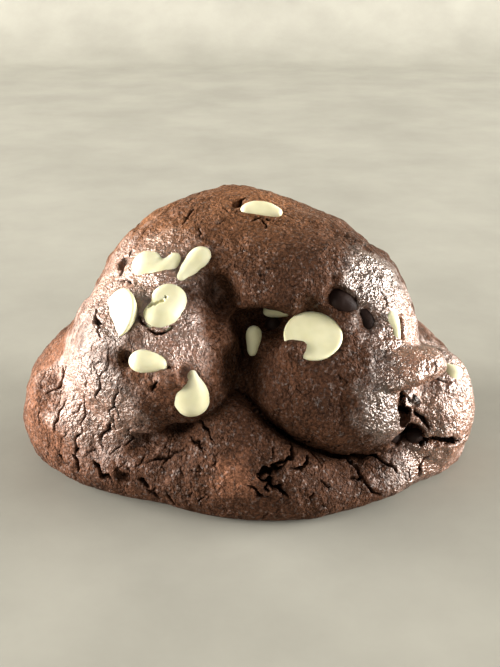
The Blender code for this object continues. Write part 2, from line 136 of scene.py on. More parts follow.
# half width of the ring, its height and the share of the height at which it is widest
LIP_WIDTH = 9.5
LIP_HEIGHT = 8.5
LIP_MIDDLE = 0.36
LIP_OUTLINE_WAVES = (
    (285.0, 22.0, 0.8),
    (240.0, 14.0, -2.0),
    (345.0, 14.0, 1.2),
    (205.0, 12.0, -1.0),
    (90.0, 30.0, 1.0),
    (62.0, 12.0, 1.2),
    (105.0, 9.0, -1.4),
    (130.0, 14.0, -1.2),
    (20.0, 12.0, -1.0),
)
LIP_HEIGHT_WAVES = (
    (263.0, 15.0, 11.5),
    (282.0, 14.0, 4.0),
    (240.0, 14.0, 3.5),
    (320.0, 12.0, 3.0),
    (75.0, 20.0, 4.5),
    (118.0, 14.0, 2.5),
    (150.0, 14.0, 4.0),
    (25.0, 12.0, 2.5),
)
# The lip runs into the mound with a blend that is wider where the two merge.
LIP_BLEND = 1.0
LIP_MERGES = ((190.0, 38.0, 6.0), (75.0, 30.0, 5.0), (140.0, 14.0, 3.0))
# A groove follows the crease between the lip and the mound, round the shown side. Its slope
# turns the difference of the distances to the two into a distance from the crease.
GROOVE_WIDTH = 0.65
GROOVE_DEPTH = 3.5
GROOVE_SIDE = (282.0, 55.0)
GROOVE_BLEND = 0.5
GROOVE_SLOPE = 0.7
FOOT_ROUNDING = 2.0

# Layers of smooth random waves, as size, height and seed: the soft lumps all over the
# dough, the stray of cracks, the changes in their width, and the waves of the chips.
LUMPS = ((11.0, 0.55, 1), (5.0, 0.3, 2))
CRACK_SWAYS = ((2.4, 0.9, 5), (1.1, 0.5, 6))
CRACK_WIDTHS = ((1.3, 0.4, 7),)
CHIP_WAVES = ((3.0, 0.12, 8),)
# The crust has granules and fine creases. The creases are bent by one layer on each axis
# and come in patches, and a crease has a size of its net, a width in noise units, a depth
# and a seed.
GRANULES = ((2.6, 0.22, 60), (1.2, 0.13, 61))
CREASE_WARPS = ((3.3, 0.8, 31), (3.3, 0.8, 32), (3.3, 0.8, 33))
CREASE_PATCHES = ((8.0, 0.9, 40),)
CREASE_COVER = 0.6
CREASES = ((4.2, 0.2, 0.3, 50), (2.3, 0.25, 0.2, 51))
# Shift of the noise's lattice for each seed, and the weights and scale of its hash.
NOISE_SHIFT = 17.3
NOISE_WEIGHTS = (12.9898, 78.233, 37.719)
NOISE_SCALE = 43758.5453

# name, azimuth and elevation of the places it runs through, seen from the heart, half
# width, depth and how far the crack strays from the straight lines between them. The
# cracks are cut into the finished crust.
CRACKS = (
    ("front_upper",
     ((290.2, -1.8), (288.9, -3.2), (286.6, -3.4), (285.0, -2.7),
      (282.6, -4.2), (281.4, -3.5), (279.6, -4.6)), 0.36, 1.5, 0.8),
    ("front_middle",
     ((280.0, -4.2), (278.8, -5.8), (277.2, -5.0), (275.6, -6.4),
      (274.4, -5.9), (273.2, -7.6), (271.6, -7.3)), 0.46, 1.6, 0.8),
    ("front_middle_rim",
     ((281.4, -3.8), (279.2, -3.4), (277.4, -4.4), (275.4, -4.5)), 0.26, 1.2, 0.6),
    ("front_lower",
     ((271.8, -7.5), (273.4, -8.5), (275.3, -8.6), (276.4, -10.5),
      (277.9, -10.9), (278.8, -12.9), (280.6, -14.4)), 0.36, 1.4, 0.8),
    ("front_lower_spur", ((275.0, -9.0), (274.4, -10.6), (275.6, -11.8)), 0.24, 1.0, 0.5),
    ("front_lower_side",
     ((268.3, -9.6), (271.7, -10.9), (273.8, -13.4), (276.5, -14.0)), 0.25, 0.9, 0.5),
    ("front_branch", ((290.4, -7.2), (285.2, -6.4), (281.5, -7.0)), 0.25, 1.1, 0.5),
    ("front_right",
     ((302.2, -6.2), (303.9, -9.5), (305.6, -12.2),
      (305.4, -14.3), (307.2, -16.4)), 0.28, 1.3, 0.5),
    ("front_right_side", ((301.2, -12.6), (303.4, -13.4), (305.6, -13.2)), 0.2, 0.8, 0.4),
    ("front_right_foot", ((306.2, -15.4), (306.8, -16.6), (309.3, -17.5)), 0.28, 0.9, 0.3),
    ("right_short", ((311.1, -9.4), (313.1, -11.0), (315.3, -11.8), (315.9, -13.6)), 0.28, 1.1, 0.3),
    ("right_end", ((326.3, -10.4), (323.9, -13.3), (324.2, -17.4)), 0.32, 1.2, 0.3),
    ("cleft_groove", ((315.8, 10.8), (318.6, 7.0), (323.3, 1.3), (324.3, -2.5)), 0.35, 2.0, 0.3),
    ("lobe_crease",
     ((320.5, -7.0), (324.0, -6.6), (328.0, -6.2), (332.5, -6.8), (336.5, -7.5)), 0.35, 1.6, 0.4),
    ("left_wedge", ((226.6, -12.9), (229.3, -15.0), (233.3, -15.6)), 0.42, 1.4, 0.5),
    ("left_wedge_end", ((234.5, -15.0), (236.5, -15.4), (238.0, -16.6)), 0.4, 1.2, 0.3),
    ("left_fold", ((200.5, 11.0), (204.1, 9.2), (204.6, 5.7), (203.3, 2.9)), 0.25, 0.6, 0.3),
    ("lump_edge", ((242.9, 19.2), (241.3, 17.8), (239.8, 15.7)), 0.35, 1.3, 0.4),
    ("heart_crevice", ((196.9, 49.8), (199.1, 47.1), (201.5, 44.5), (207.3, 42.5)), 0.45, 1.6, 0.4),
    ("foot_crumbs_a", ((218.9, -12.2), (221.4, -12.9), (223.5, -15.4), (226.5, -16.0)), 0.3, 1.0, 0.5),
    ("foot_crumbs_b", ((207.9, -12.6), (209.9, -14.3), (212.4, -13.9)), 0.28, 0.9, 0.5),
    ("foot_crumbs_c", ((212.4, -11.3), (214.4, -12.6), (215.2, -15.6)), 0.28, 1.0, 0.5),
    ("foot_crumbs_d", ((236.9, -17.4), (239.5, -18.2), (241.1, -20.2)), 0.25, 0.9, 0.4),
    ("foot_crumbs_e", ((243.6, -17.4), (245.2, -19.0), (246.7, -21.2)), 0.25, 0.9, 0.4),
    ("left_face_upper",
     ((226.0, 18.2), (224.6, 15.0), (223.9, 12.4),
      (222.1, 9.1), (222.6, 6.0)), 0.2, 0.9, 0.5),
    ("left_face_lower",
     ((217.2, 8.0), (215.2, 3.8), (215.9, 0.6),
      (214.2, -2.1), (215.4, -5.0)), 0.2, 0.9, 0.5),
    ("left_face_low", ((215.5, -4.5), (213.4, -6.9), (214.6, -9.7), (213.2, -12.0)), 0.22, 0.9, 0.5),
    ("left_face_inner",
     ((230.8, 14.4), (228.4, 11.0), (227.6, 7.6),
      (224.8, 4.4), (224.6, 1.0)), 0.2, 0.8, 0.5),
    ("left_face_foot", ((223.4, 1.2), (222.0, -2.2), (219.8, -5.6), (220.6, -9.1)), 0.22, 0.9, 0.5),
    ("left_edge_low", ((208.9, 3.2), (207.6, -0.2), (208.6, -2.4), (207.4, -6.2)), 0.2, 0.8, 0.4),
    ("left_corner", ((231.0, 0.6), (228.4, -2.4), (229.0, -5.0), (226.6, -7.4)), 0.2, 0.8, 0.5),
    ("crease_end",
     ((248.1, -4.2), (244.9, -6.0), (242.6, -8.6),
      (239.4, -8.8), (236.2, -10.8)), 0.25, 0.9, 0.5),
    ("lip_top_crumbs", ((251.0, 5.8), (253.8, 3.2), (256.0, 3.6), (258.6, 0.9)), 0.22, 0.8, 0.5),
    ("lip_top_crumbs_b", ((248.0, -0.2), (250.8, -1.4), (253.2, -0.8), (255.5, -3.2)), 0.22, 0.8, 0.5),
    ("lump_top", ((240.0, 21.2), (242.1, 23.3), (245.2, 23.0)), 0.25, 1.0, 0.4),
    ("heart_under", ((209.8, 40.4), (213.8, 42.7), (219.0, 42.2)), 0.25, 1.0, 0.4),
    ("tilted_side", ((208.8, 34.5), (213.0, 31.0), (218.0, 29.3), (223.6, 25.9)), 0.3, 1.0, 0.4),
    ("between_chips", ((230.4, 35.0), (233.2, 33.1), (236.5, 32.7)), 0.25, 1.0, 0.4),
    ("under_curled", ((235.3, 31.9), (238.5, 31.0), (240.8, 32.4), (242.3, 34.8)), 0.25, 1.0, 0.4),
    ("top_chip_side", ((175.3, 88.8), (212.3, 86.4), (235.3, 83.1)), 0.3, 1.0, 0.4),
    ("top_under", ((270.0, 76.6), (287.6, 77.9), (299.8, 75.0)), 0.2, 0.8, 0.4),
    ("top_under_b", ((284.6, 77.2), (287.6, 74.6), (286.6, 71.6)), 0.2, 0.8, 0.4),
    ("shoulder", ((193.8, 73.1), (199.4, 69.2), (209.4, 66.8)), 0.2, 0.8, 0.4),
    ("dome_left", ((150.0, 51.1), (169.6, 53.9), (180.3, 52.0)), 0.2, 0.8, 0.4),
    ("dome_front", ((321.7, 78.8), (323.9, 76.5), (322.9, 73.0)), 0.2, 0.8, 0.4),
)

# Areas with many fine cracks: azimuth and elevation of the middle, their spread, heading
# of the cracks away from upright and its spread, number and length. All but the number
# are in degrees.
CRACKLED_AREAS = (
    ("left_face", (219.0, 5.0), (11.0, 9.0), 0.0, 20.0, 13, 10.0),
    ("left_side", (203.0, 4.0), (8.0, 9.0), 5.0, 20.0, 6, 9.0),
    ("left_foot", (228.0, -14.0), (16.0, 4.0), 60.0, 40.0, 10, 5.0),
    ("front_foot", (262.0, -12.0), (14.0, 6.0), 40.0, 50.0, 10, 5.0),
    ("right_foot", (308.0, -13.0), (14.0, 4.0), 20.0, 40.0, 12, 5.0),
    ("dome", (255.0, 68.0), (30.0, 9.0), 60.0, 50.0, 6, 6.0),
    ("right_flank", (318.0, 28.0), (9.0, 10.0), 10.0, 40.0, 6, 6.0),
    ("back", (90.0, 15.0), (40.0, 20.0), 30.0, 60.0, 24, 9.0),
    ("back_foot", (90.0, -12.0), (50.0, 5.0), 50.0, 50.0, 20, 6.0),
)
# Each of these cracks has a few legs, whose lengths vary by a share, and kinks in radians.
# Near the top, where degrees of azimuth are short, they count up to 1 / LEAST_COSINE times.
FINE_SEED = 11
FINE_LEGS = 5
FINE_STEPS = (0.5, 1.2)
FINE_KINK = 0.6
FINE_SWAY = 0.25
FINE_WIDTHS = (0.08, 0.16)
FINE_DEPTHS = (0.3, 0.7)
LEAST_COSINE = 0.2
# A crack narrows by a power of the way from its middle, to a share of its width and depth
# at its ends. Its wall is the width over which it gets deep, its rim is a raised edge, and
# past its margin, in radians, it has no effect. Its colour is darkened with its depth as painted
# shade, fully at the depth given last.
CRACK_TAPER = 3
CRACK_END = 0.3
CRACK_WALL = 0.14
CRACK_RIM = 0.1
CRACK_RIM_WIDTH = 0.3
CRACK_MARGIN = 0.06
CRACK_SHADE_DEPTH = 2.0 / 3.0
# Room round a crack in which the faces are split, the cuts of an edge there, and the
# height at which cracks start.
FINE_ROOM = 0.45
FINE_CUTS = 2
FINE_BOTTOM = 0.8

# Chips that melted out of shape, as the middles and radii of the balls they run through.
MELTED_CHIPS = {
    "white_chip_top": (
        ((-0.9, -5.2, 49.5), 0.8),
        ((0.6, -4.6, 49.5), 1.5),
        ((2.4, -4.8, 49.4), 1.7),
        ((4.0, -5.4, 49.4), 1.15),
        ((5.3, -5.9, 49.3), 0.55),
        ((7.2, -6.8, 48.9), 0.1),
    ),
    "white_chip_upper_left": (
        ((-18.8, -12.5, 40.9), 2.6),
        ((-17.6, -13.0, 41.1), 2.8),
        ((-15.7, -14.9, 40.4), 2.1),
        ((-14.3, -14.6, 41.3), 1.8),
        ((-13.4, -13.4, 42.8), 1.2),
    ),
    "white_chip_teardrop": (
        ((-8.8, -12.8, 42.6), 2.3),
        ((-9.9, -14.0, 42.0), 1.9),
        ((-11.2, -15.6, 41.3), 1.4),
        ((-12.3, -17.2, 40.6), 0.9),
    ),
    "white_chip_curled": (
        ((-15.9, -22.7, 35.2), 2.9),
        ((-14.4, -22.2, 35.7), 2.8),
        ((-13.0, -21.1, 37.0), 1.9),
        ((-12.9, -20.0, 38.2), 1.6),
        ((-14.0, -19.6, 39.0), 1.3),
        ((-15.2, -20.1, 38.9), 1.1),
        ((-16.1, -20.7, 38.5), 0.8),
    ),
    "white_chip_in_hole": (
        ((-18.9, -27.8, 29.3), 1.9),
        ((-17.3, -27.8, 29.3), 1.9),
        ((-15.9, -27.9, 29.0), 1.4),
        ((-14.9, -28.0, 28.9), 0.8),
    ),
    "white_chip_lower": (
        ((-13.7, -28.2, 24.3), 0.4),
        ((-12.0, -27.4, 23.0), 1.9),
        ((-10.4, -26.8, 22.0), 3.5),
        ((-10.0, -27.2, 24.2), 2.5),
        ((-9.8, -27.9, 26.2), 0.9),
        ((-9.8, -28.3, 27.5), 0.25),
    ),
    "white_chip_sliver": (
        ((0.7, -19.7, 31.2), 1.2),
        ((0.7, -20.3, 30.0), 1.15),
        ((0.5, -20.9, 28.8), 0.8),
        ((0.4, -21.3, 28.0), 0.5),
    ),
    "white_chip_under_brow": (
        ((3.2, -16.0, 33.7), 0.8),
        ((4.9, -16.0, 34.2), 1.1),
        ((6.6, -16.4, 34.0), 0.9),
        ((4.9, -14.6, 34.6), 2.2),
    ),
    "white_chip_right": (
        ((24.9, -19.3, 33.9), 1.3),
        ((25.5, -19.8, 32.7), 1.1),
        ((25.9, -20.5, 31.4), 0.8),
        ((26.0, -21.2, 30.4), 0.5),
    ),
    "dark_chip_brow": (
        ((15.4, -18.3, 37.0), 2.2),
        ((16.7, -18.2, 36.2), 2.2),
        ((17.9, -18.6, 35.4), 1.6),
    ),
    "dark_chip_right": (
        ((20.3, -18.5, 34.6), 1.8),
        ((20.8, -18.9, 33.1), 2.1),
        ((21.1, -19.6, 32.2), 1.4),
    ),
    "dark_chip_under_brow": (
        ((4.0, -16.4, 31.6), 1.0),
        ((4.3, -15.8, 30.6), 1.6),
    ),
    "dark_chip_cleft_left": (
        ((25.8, -20.8, 10.6), 1.7),
        ((27.0, -20.4, 10.8), 1.4),
    ),
    "dark_chip_cleft_right": (
        ((30.0, -21.4, 10.9), 1.2),
        ((31.0, -21.1, 11.1), 1.2),
    ),
}
# Chips that kept a drop's shape: middle of the foot, direction of the tip, radius, height
# and bluntness from 0 (pointed) to 1 (a dome).
DROP_CHIPS = {
    "white_chip_tilted": ((-23.3, -21.9, 35.7), (0.72, 0.5, -0.48), 4.8, 5.2, 0.3),
    "white_chip_round_face": ((11.0, -24.1, 32.7), (0.0, 0.55, -0.84), 5.2, 6.0, 0.3),
    "white_chip_far_right": ((36.9, -16.0, 23.1), (-0.2, -0.49, -0.85), 3.0, 7.0, 0.4),
    "white_chip_back_1": ((24.7, 8.0, 32.7), (-0.53, 0.73, 0.43), 4.0, 8.5, 0.6),
    "white_chip_back_2": ((22.1, 24.8, 24.9), (0.91, -0.29, -0.3), 4.3, 7.5, 0.6),
    "white_chip_back_3": ((11.0, 24.3, 38.6), (-0.84, 0.54, 0.03), 3.9, 9.0, 0.6),
    "white_chip_back_4": ((3.1, 31.4, 33.1), (0.16, -0.92, -0.36), 5.0, 6.0, 0.6),
    "white_chip_back_5": ((-8.2, 20.1, 39.8), (0.14, 0.63, -0.76), 4.0, 8.5, 0.6),
    "white_chip_back_6": ((-18.0, 27.8, 22.5), (-0.23, -0.62, 0.75), 4.1, 8.5, 0.6),
    "white_chip_back_7": ((-24.5, 13.9, 31.6), (-0.06, -0.37, 0.93), 4.2, 8.0, 0.6),
    "white_chip_back_8": ((-17.8, 15.7, 38.6), (-0.71, -0.59, 0.38), 3.6, 7.0, 0.6),
    "dark_chip_back_1": ((23.4, 18.4, 35.0), (-0.73, 0.01, -0.68), 3.5, 4.8, 0.6),
    "dark_chip_back_2": ((-4.0, 29.1, 22.4), (0.83, 0.22, 0.52), 3.8, 6.5, 0.6),
    "dark_chip_back_3": ((1.5, 20.2, 43.0), (-0.98, 0.13, 0.14), 2.8, 5.0, 0.6),
}
# Small dents in chips, as the middles and radii of balls.
CHIP_DENTS = {
    "white_chip_upper_left": (((-15.9, -14.6, 44.2), 1.0),),
    "white_chip_curled": (
        ((-14.4, -21.7, 38.4), 0.55),
        ((-15.2, -22.7, 38.1), 0.6),
        ((-16.0, -23.1, 37.8), 0.7),
        ((-16.8, -23.0, 37.6), 0.7),
    ),
}
# Chips that turn their flat, sharp-edged faces outward, and those of them from which
# the dough stands back.
BARE_FACES = ("white_chip_tilted", "white_chip_round_face")
SEATED_CHIPS = ("white_chip_round_face",)
# Widths of the blends between the balls of a chip, and round a dent.
MELT_BLEND = 1.4
DENT_BLEND = 0.1
# Rounding of the foot's edge, as a share of the chip's radius.
CHIP_EDGE = 0.5
BARE_EDGE = 0.15
# A pointed chip's outline is a wave, whose share and power are given here, and a dome.
DROP_WAVE = 0.87
DROP_POWER = 0.85
CHIP_TIP_ROUNDING = 0.8
CHAIN_BALLS = 9
# Room in front of a seated chip: gap beside it, blend at the rim, reach outward and depth.
SEAT_GAP = 0.25
SEAT_BLEND = 0.3
SEAT_REACH = 8.0
SEAT_DEPTH = 1.0
# Height and width of the dough's swelling round the chips, and how far they are looked for.
SWELL = 0.4
SWELL_WIDTH = 1.6
CHIP_NEAR = 6.0
# Height at which the crust's relief starts, and the height over which it grows.
RELIEF_BOTTOM = 0.2
RELIEF_RISE = 1.2
# Reach and height of the middle of the underside, which is made one face.
BASE_REACH = 30.0
BASE_LEVEL = 0.02

# Areas of the crust that are shiny, pale where light is painted on, lighter on top where light from
# above is painted on, and of a softer shine: middle and reach.
AREAS = {
    "sheen": (
        ((-28.0, -20.0, 20.0), 13.0),
        ((-22.0, -16.0, 37.0), 15.0),
        ((-14.0, -24.0, 32.0), 8.0),
        ((22.5, -16.0, 38.5), 8.0),
        ((28.0, -18.0, 31.0), 10.0),
        ((25.5, -28.0, 21.0), 8.0),
        ((29.0, -26.5, 26.0), 9.0),
        ((39.0, -14.0, 15.0), 14.0),
        ((36.0, -25.0, 8.0), 11.0),
        ((32.0, 14.0, 18.0), 11.0),
        ((-14.0, 29.0, 18.0), 14.0),
    ),
    # Pale: painted light on the sides that face the windows, and lighter patches at the back.
    "pale_and_lit": (
        ((-34.0, -14.0, 18.0), 17.0),
        ((-24.0, -12.0, 38.0), 15.0),
        ((-14.0, -24.0, 30.0), 9.0),
        ((28.0, -18.0, 30.0), 8.0),
        ((30.0, -25.0, 26.5), 7.0),
        ((39.0, -16.0, 13.0), 15.0),
        ((-3.0, -36.0, 10.0), 4.5),
        ((30.0, 18.0, 20.0), 16.0),
        ((-14.0, 30.0, 16.0), 18.0),
    ),
    # Lighter on the top: painted light falling from above.
    "lit_from_above": (
        ((0.0, 0.0, 52.0), 13.0),
        ((-20.0, 4.0, 44.0), 9.0),
        ((-15.0, -7.0, 45.0), 7.0),
    ),
    "satin": (((-28.0, -18.0, 26.0), 22.0),),
}

# Textures of noise, as scale per millimetre, detail and roughness.
RAGGED_EDGES = (0.22, 5.0, 0.75)
DOUGH_PATCHES = (0.12, 3.0, 0.5)
SPECKS = (1.8, 3.0, 0.7)
GLINTS = (1.3, 2.0, 0.5)
COARSE_GRAIN = (1.0, 2.0, 0.6)
FINE_GRAIN = (2.4, 2.0, 0.6)
WHITE_PATCHES = (0.25, 2.0, 0.5)
WHITE_GRAIN = (0.8, 3.0, 0.5)
DARK_PATCHES = (0.6, 2.0, 0.5)
DARK_GRAIN = (0.9, 3.0, 0.5)
TABLETOP_PATCHES = (0.02, 6.0, 0.6)
# The net of the finest cracks: the noise that shifts it, the noise of its patches, the
# reach of the shift in millimetres, its stretch and its scale.
NET_SHIFT = (0.45, 3.0, 0.5)
NET_PATCHES = (0.3, 2.0, 0.5)
NET_SHIFT_REACH = (2.4, 2.4, 2.4)
NET_STRETCH = (1.0, 1.0, 0.55)
NET_SCALE = 0.36
# Limits between which a value is spread over 0 to 1, or over the two numbers after them.
ALL_LIMITS = (0.0, 1.0)
PATCH_LIMITS = (0.35, 0.65)
NET_PATCH_LIMITS = (0.48, 0.62)
SHEEN_LIMITS = (0.3, 0.7)
PALE_AND_LIT_LIMITS = (0.2, 0.9)
RAGGED_EDGE_SHIFT = (0.3, 0.7, -0.3, 0.3)
SPECK_SHADE = (0.38, 0.62, 0.45, 1.4)
NET_LINE = (0.0, 0.045, 1.0, 0.0)
# Painted shade: the net's lines and the deep cracks darken the crust's colour.
NET_SHADE = (0.0, 1.0, 1.0, 0.4)
CRACK_SHADE = (0.0, 1.0, 1.0, 0.12)
GLINT_GLOSS = (0.56, 0.7, 0.0, 0.3)
GLOSS_ROUGHNESS = (0.0, 1.0, 0.6, 0.25)
GLOSS_LEVEL = (0.0, 1.0, 0.03, 0.95)
SATIN_ROUGHNESS = (0.0, 1.0, 0.0, 0.24)
# Strength and height of the bumps.
COARSE_BUMP = (1.0, 0.7)
FINE_BUMP = (1.0, 0.25)
CRACK_BUMP = (1.0, 0.2)
WHITE_BUMP = (0.25, 0.2)
DARK_BUMP = (0.5, 0.3)
# Pairs of tints, and the settings that are the same all over a surface.
PLAIN_DOUGH_TINTS = ((0.045, 0.0195, 0.0102, 1.0), (0.065, 0.028, 0.0148, 1.0))
# The pale tints paint light on the sides that face the windows.
PALE_AND_LIT_DOUGH_TINTS = ((0.19, 0.083, 0.046, 1.0), (0.235, 0.103, 0.057, 1.0))
# This colour paints light from above onto the top.
TOP_LIT_DOUGH_COLOUR = (0.2, 0.087, 0.039, 1.0)
DOUGH_FINISH = {"IOR": 1.8, "Specular Tint": (1.0, 0.9, 0.84, 1.0)}
WHITE_TINTS = ((0.6, 0.575, 0.36, 1.0), (0.69, 0.66, 0.45, 1.0))
WHITE_FINISH = {
    "Roughness": 0.5,
    "Specular IOR Level": 0.3,
    "Subsurface Weight": 0.25,
    "Subsurface Radius": (0.9, 0.7, 0.4),
    "Subsurface Scale": 1.2 * MM,
}
DARK_TINTS = ((0.013, 0.0065, 0.005, 1.0), (0.022, 0.011, 0.008, 1.0))
DARK_FINISH = {"Roughness": 0.55, "Specular IOR Level": 0.12}
TABLETOP_TINTS = ((0.27, 0.262, 0.223, 1.0), (0.33, 0.321, 0.274, 1.0))
TABLETOP_FINISH = {"Roughness": 0.6}

# The lights, the floor and the camera are in metres and watts.
LIGHT_AIM = Vector((0.0, 0.0, 0.02))
# name, place, size across and along, power, colour
LIGHTS = (
    ("left_window", (-1.55, 0.05, 0.25), (1.5, 0.7), 132.0, (1.0, 0.96, 0.91)),
    ("right_window", (1.55, 0.05, 0.24), (1.3, 0.65), 120.0, (1.0, 0.97, 0.93)),
    ("back", (-0.2, 1.2, 1.1), (0.9, 0.6), 16.0, (1.0, 0.97, 0.94)),
)
ROOM_LIGHT = {"Color": (1.0, 0.98, 0.93, 1.0), "Strength": 0.36}
FLOOR_FRONT = -0.6
FLOOR_BACK = 0.55
FLOOR_BEND = 0.1
FLOOR_TOP = 1.0
FLOOR_HALF_WIDTH = 1.2
BEND_ANGLES = np.linspace(0.1, pi / 2, 12)
# The camera's sensor is in millimetres, and AIM_ROW is the row of the picture in which its
# aim shows.
SENSOR = 36.0
FRAME_HEIGHT = 667
FOCAL_PIXELS = 950.0
AIM_ROW = 345.0
CAMERA_TILT = 24.0
CAMERA_DISTANCE = 0.192
CAMERA_AIM = Vector((0.00085, -0.00198, 0.02))

# The meshes are made on grids of these steps. A grid is first taken COARSE times as wide,
# and then finely where it comes within NEAR of the surface.
DOUGH_STEP = 0.6
CHIP_STEP = 0.25
COARSE = 4
NEAR = 4.5
GRID_LOW = (-47.5, -37.5, -1.5)
GRID_HIGH = (47.5, 41.5, 53.5)
CHIP_ROOM = 1.5
POINTS_AT_ONCE = 40000
SETTLE_ROUNDS = 2
SLOPE_STEP = 0.3
# A distance beyond all others, and a number that only keeps a division from failing.
FAR = 1e3
TINY = 1e-9


def bump(angle, at, width):
    """A soft bell of height 1 round one angle, in degrees."""
    gap = (angle - at + 180.0) % 360.0 - 180.0
    return np.exp(-((gap / width) ** 2))


def waved(base, angle, rows):
    """A value with a change round each of some angles."""
    return base + sum(change * bump(angle, at, width) for at, width, change in rows)


def union(a, b, blend):
    """Join two distances, with a fillet where they are about equal."""
    h = np.maximum(blend - np.abs(a - b), 0.0) / np.maximum(blend, TINY)
    return np.minimum(a, b) - h * h * blend / 4


def carve(a, b, blend):
    return -union(-a, b, blend)


def from_ellipsoid(q, radii):
    outward = np.linalg.norm(q / radii, axis=1)
    steepness = np.linalg.norm(q / (radii * radii), axis=1) + TINY
    return outward * (outward - 1.0) / steepness


def with_ellipsoids(d, p, rows, join):
    """A distance with a table's ellipsoids joined to it, or carved out of it."""
    for _, centre, radii, blend in rows:
        d = join(d, from_ellipsoid(p - np.array(centre), np.array(radii)), blend)
    return d


def from_lip(p):
    """Distance to the lip, width of its blend and how open the groove is, at p."""
    x, y = p[:, 0] - LIP_CENTRE[0], p[:, 1] - LIP_CENTRE[1]
    x = np.where(np.hypot(x, y) < TINY, TINY, x)
    rho = np.hypot(x, y)
    angle = np.degrees(np.arctan2(y, x)) % 360.0
    out = 1.0 / np.hypot(x / rho / LIP_RADII[0], y / rho / LIP_RADII[1])
    out = waved(out, angle, LIP_OUTLINE_WAVES)
    top = waved(LIP_HEIGHT, angle, LIP_HEIGHT_WAVES)
    middle = LIP_MIDDLE * top
    q = np.stack([rho - (out - LIP_WIDTH), p[:, 2] - middle], 1)
    radii = np.stack([np.full_like(top, LIP_WIDTH), top - middle], 1)
    return from_ellipsoid(q, radii), waved(LIP_BLEND, angle, LIP_MERGES), bump(angle, *GROOVE_SIDE)


def noise(p, size, seed):
    """Smooth random heights from -1 to 1, one random value at each lattice corner."""
    q = p / size + seed * NOISE_SHIFT
    cell = np.floor(q)
    f = q - cell
    f = f * f * (3.0 - 2.0 * f)
    total = np.zeros(len(p))
    for corner in np.ndindex(2, 2, 2):
        hashed = np.sin((cell + corner) @ NOISE_WEIGHTS + seed) * NOISE_SCALE
        weight = np.prod(np.where(corner, f, 1.0 - f), axis=1)
        total += weight * (hashed - np.floor(hashed))
    return total * 2.0 - 1.0


def waves(p, layers):
    """Sum of layers of noise, each with its size, height and seed."""
    return sum(height * noise(p, size, seed) for size, height, seed in layers)


def direction(azimuth, elevation):
    a, e = np.radians(azimuth), np.radians(elevation)
    return np.stack([np.cos(e) * np.cos(a), np.cos(e) * np.sin(a), np.sin(e)], -1)


def along_crack(p, places, sway):
    """Distance from p to a crack's middle line, and the share of its length there."""
    stops = direction(*np.array(places).T)
    lengths = np.arccos(np.sum(stops[1:] * stops[:-1], axis=1))
    q = p - HEART
    wobble = sway * waves(p, CRACK_SWAYS)
    gap, share = np.full(len(p), FAR), np.zeros(len(p))
    for leg, (a, b) in enumerate(zip(stops[:-1], stops[1:])):
        across = np.cross(a, b)
        across /= np.linalg.norm(across)
        turn = np.arctan2(q @ np.cross(across, a), q @ a)
        along = np.clip(turn, 0.0, lengths[leg])
        beyond = np.abs(turn - along) * np.linalg.norm(q, axis=1)
        away = np.hypot(q @ across + wobble, beyond)
        share = np.where(away < gap, (lengths[:leg].sum() + along) / lengths.sum(), share)
        gap = np.minimum(away, gap)
    return gap, share


def crack_shape(p, crack):
    """Depth of one crack at p, and distance from its edge."""
    _, places, width, depth, sway = crack
    gap, share = along_crack(p, places, sway)
    taper = 1.0 - np.abs(2.0 * share - 1.0) ** CRACK_TAPER
    half = width * (CRACK_END + (1.0 - CRACK_END) * taper) * (1.0 + waves(p, CRACK_WIDTHS))
    inside = np.clip((half - gap) / CRACK_WALL, 0.0, 1.0)
    return depth * np.minimum(taper + CRACK_END, 1.0) * inside, gap - half


def cracks_shape(p, cracks):
    """Depth at p of the deepest of the cracks, and distance from the nearest edge."""
    unit = p - HEART
    unit /= np.linalg.norm(unit, axis=1, keepdims=True)
    deepest, edge = np.zeros(len(p)), np.full(len(p), FAR)
    for crack in cracks:
        _, places, *_ = crack
        stops = direction(*np.array(places).T)
        middle = stops.mean(axis=0) / np.linalg.norm(stops.mean(axis=0))
        reach = np.arccos(np.clip(stops @ middle, -1.0, 1.0)).max() + CRACK_MARGIN
        near = unit @ middle > cos(reach)
        depth, gap = crack_shape(p[near], crack)
        deepest[near] = np.maximum(deepest[near], depth)
        edge[near] = np.minimum(edge[near], gap)
    return deepest, edge


def random_cracks():
    """The crackled areas' cracks, each of them a line with a few kinks."""
    rng = np.random.default_rng(FINE_SEED)
    cracks = []
    for name, middle, spread, heading, turn, number, length in CRACKLED_AREAS:
        for _ in range(number):
            start = np.array(middle) + np.array(spread) * rng.normal(size=2)
            stretch = 1.0 / max(cos(radians(start[1])), LEAST_COSINE)
            ways = radians(heading + turn * rng.normal()) + FINE_KINK * rng.normal(size=FINE_LEGS)
            steps = length / FINE_LEGS * rng.uniform(*FINE_STEPS, (FINE_LEGS, 1))
            legs = np.stack([np.sin(ways) * stretch, np.cos(ways)], 1) * steps
            places = start + np.cumsum(np.concatenate([np.zeros((1, 2)), legs]), axis=0)
            width, depth = rng.uniform(*FINE_WIDTHS), rng.uniform(*FINE_DEPTHS)
            cracks.append((name, places, width, depth, FINE_SWAY))
    return cracks


def round_axis(p, foot, tip):
    """Distances of p along and from the line through a chip's foot and tip."""
    axis = np.array(tip) / np.linalg.norm(tip)
    q = p - np.array(foot)
    along = q @ axis
    return along, np.sqrt(np.maximum((q * q).sum(1) - along * along, 0.0))


def from_seats(p):
    """Distance to the room in front of the seated chips."""
    d = np.full(len(p), FAR)
    for name in SEATED_CHIPS:
        foot, tip, radius, *_ = DROP_CHIPS[name]
        along, out = round_axis(p, foot, tip)
        ends = np.maximum(along - SEAT_DEPTH, -along - SEAT_REACH)
        d = np.minimum(d, np.maximum(out - radius - SEAT_GAP, ends))
    return d


